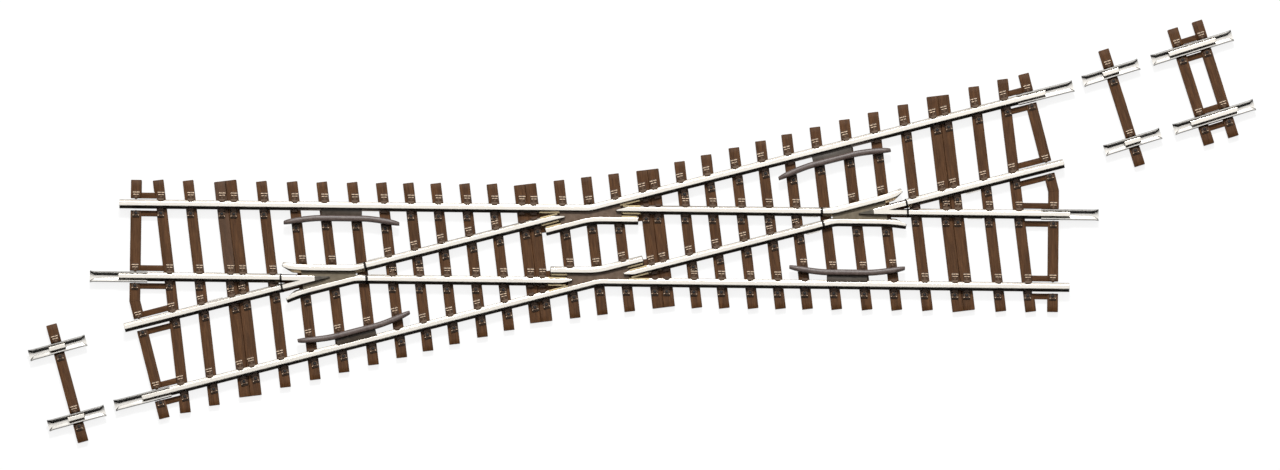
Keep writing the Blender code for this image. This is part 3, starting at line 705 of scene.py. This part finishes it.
def guard_rail(name, angle, across, inward, half_turn):
    """A curved plastic guard rail with rounded, narrowing ends and its spacer, coloured darker as painted
    shade.
    """
    place = Place(angle, at(angle, 0, across), half_turn)
    west, flat_west, flat_east, east = GUARD_STATIONS
    steps = 40
    half = GUARD_WIDTH / 2
    bm = bmesh.new()
    rings = []
    for i in range(steps + 1):
        t = i / steps
        along = west + (east - west) * (0.5 - 0.5 * math.cos(math.pi * t))
        from_end = min(along - west, east - along)
        narrow = 0.5 + 0.5 * min(1.0, from_end / 3.0) ** 0.5
        drop = 0.35 * (1 - min(1.0, from_end / 2.0)) ** 2
        centre = inward * (GUARD_OFFSET + guard_flare(along))
        w, top = half * narrow, RAIL_TOP - drop
        ring = [(-w, RAIL_BASE), (w, RAIL_BASE), (w, top - 0.35)]
        for k in range(1, 6):
            turn = math.pi * k / 6
            ring.append((w * math.cos(turn), top - 0.35 + 0.35 * math.sin(turn)))
        ring.append((-w, top - 0.35))
        rings.append([place(along, centre + y, z) for y, z in ring])
    add_loft(bm, rings)
    # The spacer under the guard and rail head, in the darker spacer colour: painted shade.
    edges = sorted((inward * (WEB / 2 + FIT), inward * (GUARD_OFFSET)))
    ends = (flat_west + 0.2, flat_east - 0.2)
    add_block(bm, place, ends, edges, RAIL_BASE + 0.55, RAIL_BASE + 1.0, 0.05, 1)
    edges = sorted((inward * (FOOT / 2 + FIT), inward * (GUARD_OFFSET)))
    add_block(bm, place, ends, edges, RAIL_BASE + 0.02, RAIL_BASE + 0.6, 0.05, 1)
    piece(name + "_moulded", bm, [GUARD_BROWN, SPACER_SHADE], "crossing", [name], 50.0)


# ---------------------------------------------------------------- joiners

SHEET_THICK = 0.17


def joiner_profile():
    """A folded sleeve whose lips turn inwards and down onto the rail's foot."""
    inner = FOOT / 2 + FIT
    outer = inner + SHEET_THICK
    fold, lip = 0.16, 0.33
    half = (
        (outer, -FIT - SHEET_THICK),
        (outer, 0.24),
        (outer - 0.11, 0.62),
        (outer - fold, 0.78),
        (lip, 0.64),
        (lip, 0.52),
        (inner - fold, 0.60),
        (inner - 0.08, 0.48),
        (inner, 0.24),
        (inner, -FIT),
    )
    return rounded(both_sides(half), 0.05, 2)


def joiner(name, body, place, length, tips):
    """A folded sheet sleeve whose open tips are spread a little."""
    profile = joiner_profile()
    stations = [-length / 2 + d for d in (0.0, 0.12, 0.35, 0.7, 1.1)]
    stations += [0.0] + [-s for s in reversed(stations)]
    rings = []
    for x in stations:
        into_tip = max(0.0, 1.1 - (length / 2 - abs(x))) / 1.1
        opened = into_tip if tips == 0 or tips * x > 0 else 0.0
        ring = []
        for p in profile:
            drawn_back = opened * max(0.0, FOOT / 2 - 0.1 - abs(p.x)) if p.y > 0.45 else 0.0
            across = math.copysign(abs(p.x) + drawn_back, p.x) * (1 + 0.10 * opened**2)
            up = max(p.y * (1 - 0.25 * opened**2), -0.3)
            ring.append(place(x, across, RAIL_BASE + up))
        rings.append(ring)
    bm = bmesh.new()
    add_loft(bm, rings)
    piece(name + "_folded", bm, [SHEET], body, [name])


# ---------------------------------------------------------------- sleepers


def sleeper_half(station):
    reach = max(abs(station), DOUBLES[0]) * math.sin(HALF_ANGLE)
    return (SLEEPER_LENGTH / 2 + reach) / math.cos(HALF_ANGLE)


class Sleepers:
    """Gathers sleepers, with the attributes that steer their grain."""

    def __init__(self):
        self.bm = bmesh.new()
        self.grain = self.bm.verts.layers.float_vector.new("grain")
        self.tint = self.bm.verts.layers.float.new("tint")

    def bar(self, path, width, top=None, seam=False, wear_and_highlight=0.0, worn_to=0.0, low=0.0):
        """A wood-grained bar along a plan path, uneven at its edges, with a tint of wear on one side past
        worn_to.
        """
        top = SLEEPER_TOP if top is None else top
        half, ease = width / 2, 0.12
        profile = [(-half, low), (half, low), (half, top - ease), (half - 0.04, top - 0.03)]
        profile += [(half - ease, top)]
        if seam:
            profile += [(0.09, top), (0.0, top - 0.22), (-0.09, top)]
        profile += [(-half + ease, top), (-half + 0.04, top - 0.03), (-half, top - ease)]
        run = []
        for start, end in zip(path, path[1:]):
            count = max(2, int((end - start).length / 1.3))
            run += [start.lerp(end, i / count) for i in range(count)]
        run.append(path[-1])
        rings = add_sweep(self.bm, run, profile, Place(), chamfer=0.07)
        shift = (random.uniform(0, 50), random.uniform(0, 50), random.uniform(0, 50))
        along = 0.0
        for i, ring in enumerate(rings):
            if i:
                step = Vector(rings[i][0].co - rings[i - 1][0].co).length
                along += step
            for vert, (across, up) in zip(ring, profile):
                vert[self.grain] = (across + shift[0] + up, along + shift[1], shift[2])
                vert[self.tint] = wear_and_highlight if across < 0 and vert.co.y > worn_to else 0.0
                if up > top - 0.2 and 1 < i < len(rings) - 2:
                    vert.co.z += random.uniform(-0.012, 0.008)
                    vert.co.x += random.uniform(-0.015, 0.015)

    def make_room(self, before, side):
        """Draws the edge of a sleeper back to where the joiners' pockets end, and a little beside them."""
        half = POCKET_HALF + 1.3
        self.bm.verts.ensure_lookup_table()
        for vert in self.bm.verts[before:]:
            for angle in (STRAIGHT, DIAGONAL):
                past = side * vert.co.xy.dot(at(angle, 1, 0)) - POCKET_END
                across = abs(vert.co.xy.dot(at(angle, 0, 1)))
                if past > 0 and abs(across - RAIL_OFFSET) < half:
                    vert.co.xy -= at(angle, side * past, 0)

    def block(self, place, along, across, low, high):
        before = len(self.bm.verts)
        add_block(self.bm, place, along, across, low, high, 0.08)
        self.bm.verts.ensure_lookup_table()
        for vert in self.bm.verts[before:]:
            vert[self.grain] = (vert.co.y, vert.co.x, 3.0)
            vert[self.tint] = 0.0


# A straight line that something rests on: sides are those of its chairs, foot half its width
Bearing = namedtuple("Bearing", "angle across start end sides foot flared", defaults=(False,))


def half_turned(bearing):
    """The same bearing line, half a turn round the middle."""
    return bearing._replace(
        across=-bearing.across,
        start=-bearing.end,
        end=-bearing.start,
        sides=tuple(-side for side in bearing.sides),
    )


def bearing_lines():
    """Every line that something rests on, on both halves of the crossing."""
    foot = FOOT / 2
    flared_foot = foot + 0.2
    bent_foot = foot + 0.15
    both = (1, -1)
    knee, nose = KNEE_REACH, NOSE_REACH - KNEE_REACH
    knee_across = RAIL_OFFSET / math.cos(HALF_ANGLE)
    wing, guard = RAIL_OFFSET - WING_OFFSET, RAIL_OFFSET - GUARD_OFFSET
    wing_span = (-75.1, -57.0)
    check = RAIL_OFFSET - CHECK_OFFSET
    check_across = knee_across - CHECK_OFFSET / math.cos(HALF_ANGLE)
    check_end = CHECK_ARM - KNEE_REACH + CHECK_OFFSET * math.tan(HALF_ANGLE)
    guard_span = (GUARD_STATIONS[0], GUARD_STATIONS[-1])
    west = [
        Bearing(STRAIGHT, RAIL_OFFSET, -ROUTE_HALF, -knee, both, foot),
        Bearing(DIAGONAL, -RAIL_OFFSET, -ROUTE_HALF, -knee, both, foot),
        Bearing(BISECTOR, knee_across, -1, 1, both, bent_foot),
        Bearing(STRAIGHT, -RAIL_OFFSET, -ROUTE_HALF, -OUTER_GAP, both, foot),
        Bearing(DIAGONAL, RAIL_OFFSET, -ROUTE_HALF, -OUTER_GAP, both, foot),
        Bearing(STRAIGHT, -RAIL_OFFSET, -INNER_GAP, -nose, both, foot),
        Bearing(DIAGONAL, RAIL_OFFSET, -INNER_GAP, -nose, both, foot),
        Bearing(STRAIGHT, -RAIL_OFFSET, -OUTER_GAP, -INNER_GAP, (), foot),
        Bearing(DIAGONAL, RAIL_OFFSET, -OUTER_GAP, -INNER_GAP, (), foot),
        Bearing(STRAIGHT, -wing, *wing_span, (1,), flared_foot),
        Bearing(DIAGONAL, wing, *wing_span, (-1,), flared_foot),
        Bearing(STRAIGHT, guard, *guard_span, (-1,), GUARD_WIDTH / 2, True),
        Bearing(DIAGONAL, -guard, *guard_span, (1,), GUARD_WIDTH / 2, True),
        Bearing(DIAGONAL, check, -check_end, 0, (-1,), foot),
        Bearing(STRAIGHT, -check, -check_end, 0, (1,), foot),
        Bearing(BISECTOR, check_across, -1, 1, (-1,), bent_foot),
    ]
    return west + [half_turned(bearing) for bearing in west]


def is_clear(point, own, lines, beside=CHAIR_REACH / 2 + 0.1, beyond=CHAIR_WIDTH / 2 + 0.35):
    """Whether a chair centred on this point stays off everything but its own rail."""
    for line in lines:
        along = point.dot(at(line.angle, 1, 0))
        across = abs(point.dot(at(line.angle, 0, 1)) - line.across)
        past_end = max(line.start - along, along - line.end)
        if line is not own and across < line.foot + beside and past_end < beyond:
            return False
    return True


class Chairs:
    """Gathers rail chairs. A bit's painted light runs from -1, black painted shade, through 0, as moulded,
    to 1, a bright painted highlight.
    """

    # Shaded plates and holes are painted shade; lit jaws, rib rows, round tops and glints are painted
    # highlights.
    HOLE, SHADED_PLATE, LIT_PLATE = -1.0, -0.3, 0.0
    SHADED_JAW, LONE_JAW, LIT_JAW = 0.0, 0.1, 0.16
    ROUND, FLECK, INNER_ROW, OUTER_ROW = 0.12, 0.85, 0.92, 1.0

    def __init__(self):
        self.bm = bmesh.new()
        self.painted_light = self.bm.verts.layers.float.new("painted_light")

    def mark(self, before, painted_light):
        self.bm.verts.ensure_lookup_table()
        for vert in self.bm.verts[before:]:
            vert[self.painted_light] = painted_light

    def block(self, place, along, across, low, high, ease, painted_light):
        before = len(self.bm.verts)
        add_block(self.bm, place, along, across, low, high, ease)
        self.mark(before, painted_light)

    def turned(self, place, centre, profile, sides, painted_light):
        before = len(self.bm.verts)
        add_turned(self.bm, place, centre, profile, sides)
        self.mark(before, painted_light)

    def jaw(self, place, near, painted_light):
        """The rounded lump that grips the rail's foot from above."""
        half, over, behind = 0.78, 0.42, 0.30
        corners = ((-half, behind), (-half, -0.1), (-0.42, -over))
        corners += tuple((-x, t) for x, t in reversed(corners))
        outline = rounded([Vector((x, near + t)) for x, t in corners], 0.3, 2)
        middle = Vector((0.0, near + behind))
        low, high, ease = RAIL_BASE + 0.38, RAIL_BASE + 0.62, 0.08
        before = len(self.bm.verts)
        levels = ((0.0, low), (0.0, high - ease), (0.12, high))
        rings = [[place(*p.lerp(middle, share), z) for p in outline] for share, z in levels]
        add_loft(self.bm, rings)
        self.mark(before, painted_light)
        self.block(place, (-half, half), (near + 0.02, near + behind), SLEEPER_TOP, high - 0.1, 0.06, painted_light)

    def add(self, place, along, line, side, near, foot_clip=True, start=0.0):
        """Half a chair: a plate, and a bolt, ribs and studs that hold the rail."""
        spot = mirrored(place, side, along, line)
        base, plate = SLEEPER_TOP, SLEEPER_TOP + 0.2
        far = near + CHAIR_REACH
        half = CHAIR_WIDTH / 2
        # Chairs south of the rail (side -1) take painted shade on plates and jaws, those north of it
        # painted highlights.
        shaded = side < 0
        painted_light = self.SHADED_PLATE if shaded else self.LIT_PLATE
        self.block(spot, (-half, half), (near + start, far), base - 0.1, plate, 0.07, painted_light)
        if shaded:
            bolt = near + 1.0
            ring = [(0.72, base), (0.72, plate + 0.14), (0.62, plate + 0.27), (0.46, plate + 0.27)]
            self.turned(spot, (0.0, bolt), ring + [(0.36, plate + 0.05)], 18, self.ROUND)
            # A black disc inside the ring bolt: painted shade for its hole.
            hole = [(0.40, base), (0.40, plate + 0.06), (0.39, plate + 0.065)]
            self.turned(spot, (0.0, bolt), hole, 12, self.HOLE)
            # Two painted glints beside the ring bolt.
            for x0, x1 in ((-0.76, -0.50), (0.50, 0.76)):
                glint = (bolt + 0.38, bolt + 0.60)
                self.block(spot, (x0, x1), glint, base, plate + 0.30, 0.06, self.FLECK)
        else:
            # Rib rows painted bright as highlights.
            rows = ((far - 0.40, 0.0, self.OUTER_ROW), (far - 0.96, 0.16, self.INNER_ROW))
            for row, inset, painted_light in rows:
                for x0, x1 in ((-half + 0.02 + inset, -0.05), (0.05, half - 0.02 - inset)):
                    self.block(spot, (x0, x1), (row, row + 0.19), base, plate + 0.22, 0.05, painted_light)
            dome = [(0.5, base), (0.5, plate + 0.08), (0.34, plate + 0.3), (0.12, plate + 0.38)]
            self.turned(spot, (0.0, near + 0.5), dome, 14, self.ROUND)
        if foot_clip:
            self.jaw(spot, near, self.SHADED_JAW if shaded else self.LIT_JAW)


def add_chairs(chairs, station, lines):
    """The rail chairs of one sleeper, leaving out those that have no room."""
    margin = 0.5
    for line in lines:
        tilt = line.angle - BISECTOR
        along = (station + line.across * math.sin(tilt)) / math.cos(tilt)
        if not line.start + margin < along < line.end - margin:
            continue
        near = line.foot + CHAIR_GAP + (guard_flare(-abs(along)) if line.flared else 0.0)
        for side in line.sides:
            centre = at(line.angle, along, line.across + side * (near + CHAIR_REACH / 2))
            grips = line.foot == FOOT / 2
            place = Place(line.angle)
            if is_clear(centre, line, lines):
                chairs.add(place, along, line.across, side, near, grips)
                continue
            foot_edge = at(line.angle, along, line.across + side * near)
            if grips and is_clear(foot_edge, line, lines, 0.35, 0.6):
                chairs.jaw(mirrored(place, side, along, line.across), near, Chairs.LONE_JAW)


def end_sleeper(sleepers, chairs, side):
    """The kinked last sleeper, in the pieces that the joiner slots leave."""
    middle = side * (ROUTE_HALF - END_INSET)
    edge = SLEEPER_LENGTH / 2
    inside, outside = RAIL_OFFSET - POCKET_HALF, RAIL_OFFSET + POCKET_HALF
    kink = at(BISECTOR, middle / math.cos(HALF_ANGLE), 0)
    for angle, turned in ((STRAIGHT, -side), (DIAGONAL, side)):
        spans = ((turned * edge, turned * outside), (-inside, inside))
        for near, far in spans:
            sleepers.bar([at(angle, middle, near), at(angle, middle, far)], SLEEPER_WIDTH)
        for across in (-RAIL_OFFSET, RAIL_OFFSET):
            for way in (-1, 1):
                chairs.add(Place(angle), middle, across, way, FOOT / 2 + CHAIR_GAP, False, 0.46)
    path = [at(STRAIGHT, middle, side * outside), kink, at(DIAGONAL, middle, -side * outside)]
    sleepers.bar(path, SLEEPER_WIDTH)
    ridge = Place(BISECTOR, kink)
    sleepers.block(ridge, (-1.15, 1.15), (-0.07, 0.07), SLEEPER_TOP - 0.1, SLEEPER_TOP + 0.07)


def pocket_webs(sleepers, angle, across, side):
    """The pocket's two edges, between the end sleeper and the one before it."""
    tilt = angle - BISECTOR
    for way in (-1, 1):
        edges = sorted(across + way * x for x in (POCKET_HALF, POCKET_HALF + POCKET_WEB))
        middle = sum(edges) / 2
        inner = (side * STATIONS[-1] + middle * math.sin(tilt)) / math.cos(tilt)
        ends = sorted((inner, side * (ROUTE_HALF - END_INSET)))
        sleepers.block(Place(angle), ends, edges, 0.06, 1.6)


def runners(sleepers, angle, across, side):
    """The webs under one of the rails that meet at a frog."""
    for near, far, half, high in (
        (-STATIONS[-1], RUNNER_NEAR, RUNNER_HALF, RUNNER_TOP),
        (RUNNER_FAR, STATIONS[-1], RUNNER_HALF, RUNNER_TOP),
        (CHANNEL_NEAR, CHANNEL_FAR, CHANNEL_HALF, CHANNEL_TOP),
    ):
        ends = sorted((side * near, side * far))
        sleepers.block(Place(angle), ends, (across - half, across + half), high - RUNNER_DEPTH, high)


def k_pads(sleepers, side):
    """The low plastic beside a K crossing's floor, at both its ends."""
    knee = at(STRAIGHT, -side * KNEE_REACH, side * RAIL_OFFSET)
    along, across = knee.dot(at(BISECTOR, 1, 0)), knee.dot(at(BISECTOR, 0, 1))
    edges = sorted((across - side * PAD_IN, across + side * PAD_OUT))
    for end in (-1, 1):
        ends = sorted((along + end * PAD_NEAR, along + end * PAD_FAR))
        sleepers.block(Place(BISECTOR), ends, edges, 0.3, 1.7)


def crossing_sleepers():
    sleepers = Sleepers()
    chairs = Chairs()
    lines = bearing_lines()
    for station in [0.0] + [side * s for s in STATIONS for side in (-1, 1)]:
        double = abs(station) in DOUBLES
        half = sleeper_half(station)
        path = [at(BISECTOR, station, half), at(BISECTOR, station, -half)]
        width = DOUBLE_WIDTH if double else SLEEPER_WIDTH
        wear_and_highlight = 0.35 if double and station < -80 else 0.0
        before = len(sleepers.bm.verts)
        sleepers.bar(path, width, seam=double, wear_and_highlight=wear_and_highlight, worn_to=-RAIL_OFFSET)
        if abs(station) == STATIONS[-1]:
            sleepers.make_room(before, math.copysign(1, station))
        spread = (DOUBLE_WIDTH - SLEEPER_WIDTH) / 2 if double else 0.0
        for middle in sorted({station - spread, station + spread}):
            add_chairs(chairs, middle, lines)
    for side in (-1, 1):
        end_sleeper(sleepers, chairs, side)
        k_pads(sleepers, side)
        for angle, across in ((STRAIGHT, side * RAIL_OFFSET), (DIAGONAL, -side * RAIL_OFFSET)):
            runners(sleepers, angle, across, side)
        for angle in (STRAIGHT, DIAGONAL):
            for across in (-RAIL_OFFSET, RAIL_OFFSET):
                pocket_webs(sleepers, angle, across, side)
    piece("sleepers_grained", sleepers.bm, [BROWN], "crossing", ["sleeper_moulding"])
    piece("rail_chairs", chairs.bm, [CHAIR_BROWN], "crossing", [])


# ---------------------------------------------------------------- loose make-up pieces


def make_up_piece(name, turn, offsets):
    """A short track: sleepers, rail stubs and joiners, turned so many degrees from the diagonal."""
    low, high = (corner * 1000 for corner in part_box(f"{name}_sleepers"))
    centre = Vector(((low.x + high.x) / 2, (low.y + high.y) / 2))
    angle = DIAGONAL + math.radians(turn)
    place = Place(angle, centre)
    sleepers = Sleepers()
    chairs = Chairs()
    edge = SLEEPER_LENGTH / 2
    inside, outside = RAIL_OFFSET - POCKET_HALF, RAIL_OFFSET + POCKET_HALF
    bed = RAIL_BASE - 0.35
    for offset in offsets:
        for near, far in ((edge, outside), (inside, -inside), (-outside, -edge)):
            sleepers.bar([centre + at(angle, offset, y) for y in (near, far)], SLEEPER_WIDTH)
        path = [centre + at(angle, offset, y) for y in (edge - 0.3, -edge + 0.3)]
        sleepers.bar(path, SLEEPER_WIDTH - 0.04, top=bed, low=0.01)
        for across in (-RAIL_OFFSET, RAIL_OFFSET):
            for side in (-1, 1):
                chairs.add(place, offset, across, side, FOOT / 2 + CHAIR_GAP, False, 0.46)
    if len(offsets) > 1:
        for across in (-RAIL_OFFSET, RAIL_OFFSET):
            for way in (-1, 1):
                edges = sorted(across + way * x for x in (POCKET_HALF, POCKET_HALF + POCKET_WEB))
                sleepers.block(place, (min(offsets), max(offsets)), edges, 0.06, 1.5)
    piece(f"{name}_grained", sleepers.bm, [BROWN], name, [f"{name}_sleepers"])
    piece(f"{name}_chairs", chairs.bm, [CHAIR_BROWN], name, [])
    for side, across in (("north", RAIL_OFFSET), ("south", -RAIL_OFFSET)):
        line = Place(angle, centre + at(angle, 0, across))
        for kind, build in (("rail", stub_rail), ("joiner", stub_joiner)):
            node = f"{name}_{kind}_{side}"
            build(node, name, line, length_of(node, angle, half_width(kind)))


def length_of(node, angle, half):
    """How long a node of this half width is that lies at this angle, from its box."""
    low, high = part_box(node)
    return ((high.x - low.x) * 1000 - 2 * half * math.sin(angle)) / math.cos(angle)


def half_width(kind):
    return FOOT / 2 if kind == "rail" else FOOT / 2 + FIT + SHEET_THICK


def stub_rail(node, body, place, length):
    bm = bmesh.new()
    path = [Vector((-length / 2, 0)), Vector((length / 2, 0))]
    add_sweep(bm, path, RAIL_PROFILE, place, RAIL_BASE, chamfer=0.07)
    drawn_rail(node, bm, body)


def stub_joiner(node, body, place, length):
    joiner(node, body, place, length, 0)


# ---------------------------------------------------------------- everything in its place

crossing_sleepers()
for end, edge, turned in (("west", "north", False), ("east", "south", True)):
    knee_rail(edge, turned)
    check_rail(edge, turned)
    k_floor(edge, turned)
    foot_reflection_strips(edge, turned)
    frog_casting(end, turned)
    gap_inserts(end, turned)
    lead_rail(f"lead_rail_straight_{end}", STRAIGHT, -RAIL_OFFSET, turned)
    lead_rail(f"lead_rail_diagonal_{end}", DIAGONAL, RAIL_OFFSET, turned)
    closure_rail(f"closure_rail_straight_{end}", STRAIGHT, -RAIL_OFFSET, True, turned)
    closure_rail(f"closure_rail_diagonal_{end}", DIAGONAL, RAIL_OFFSET, False, turned)
    guard_rail(f"guard_rail_straight_{end}", STRAIGHT, RAIL_OFFSET, -1, turned)
    guard_rail(f"guard_rail_diagonal_{end}", DIAGONAL, -RAIL_OFFSET, 1, turned)
    for route, angle in (("straight", STRAIGHT), ("diagonal", DIAGONAL)):
        name = f"joiner_{route}_{end}"
        length = length_of(name, angle, half_width("joiner"))
        low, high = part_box(name)
        middle = Vector((low.x + high.x, low.y + high.y)) * 500
        joiner(name, name, Place(angle, middle), length, -1 if end == "west" else 1)
make_up_piece("west_single", 1.0, (0.0,))
make_up_piece("east_single", 3.0, (0.0,))
make_up_piece("east_double", 3.1, (-3.1, 3.1))
for name, node in frame["nodes"].items():
    if name.startswith("feed_strip"):
        node.material_slots[0].material = SHEET


# ---------------------------------------------------------------- floor, light and camera


def floor():
    bpy.ops.mesh.primitive_plane_add(size=12.0, location=(0, 0, -0.00005))
    plane = bpy.context.object
    plane.name = "floor"
    nodes = Nodes("pale_floor")
    nodes.set("Base Color", (0.18, 0.18, 0.18, 1.0))
    nodes.set("Emission Color", (1.0, 1.0, 1.0, 1.0))
    nodes.set("Emission Strength", 0.86)
    nodes.set("Roughness", 0.9)
    nodes.set("Specular IOR Level", 0.1)
    plane.data.materials.append(nodes.material)


def soft_box(name, tilt, reach, breadth, radiance, distance=2.4):
    """An area light, tilted north of straight overhead, of so many degrees each way from its middle."""
    data = bpy.data.lights.new(name, "AREA")
    data.shape = "RECTANGLE"
    data.size = 2 * distance * math.tan(math.radians(breadth))
    data.size_y = 2 * distance * math.tan(math.radians(reach))
    data.energy = radiance * math.pi * data.size * data.size_y
    light = bpy.data.objects.new(name, data)
    bpy.context.scene.collection.objects.link(light)
    turn = math.radians(tilt)
    light.location = (0.0, distance * math.sin(turn), distance * math.cos(turn))
    light.rotation_euler = (-turn, 0.0, 0.0)


def surroundings(north, south):
    """A dim room that is brighter on the side the light comes from."""
    world = bpy.data.worlds.new("studio")
    world.use_nodes = True
    tree = world.node_tree
    direction = tree.nodes.new("ShaderNodeSeparateXYZ")
    tree.links.new(tree.nodes.new("ShaderNodeTexCoord").outputs["Generated"], direction.inputs["Vector"])
    level = tree.nodes.new("ShaderNodeMapRange")
    level.inputs["From Min"].default_value = -0.25
    level.inputs["From Max"].default_value = 0.45
    level.inputs["To Min"].default_value = south
    level.inputs["To Max"].default_value = north
    tree.links.new(direction.outputs["Y"], level.inputs["Value"])
    tree.links.new(level.outputs["Result"], tree.nodes["Background"].inputs["Strength"])
    bpy.context.scene.world = world


def camera():
    azimuth, elevation, distance = math.radians(0.67), math.radians(86), 3.27
    width_seen = 0.30984
    target = Vector((0.01102, 0.00286, 0.0))
    level = math.cos(elevation)
    back = Vector((math.sin(azimuth) * level, -math.cos(azimuth) * level, math.sin(elevation)))
    data = bpy.data.cameras.new("camera")
    data.sensor_width = 36.0
    data.lens = data.sensor_width * distance / width_seen
    data.clip_end = 50.0
    view = bpy.data.objects.new("camera", data)
    bpy.context.scene.collection.objects.link(view)
    view.location = target + back * distance
    view.rotation_euler = (-back).to_track_quat("-Z", "Y").to_euler()
    bpy.context.scene.camera = view


floor()
soft_box("north_window", tilt=23, reach=25, breadth=42, radiance=1.38)
soft_box("north_key", tilt=34, reach=3, breadth=4, radiance=140.0)
surroundings(north=0.32, south=0.09)
bpy.context.scene.view_settings.view_transform = "Standard"
camera()
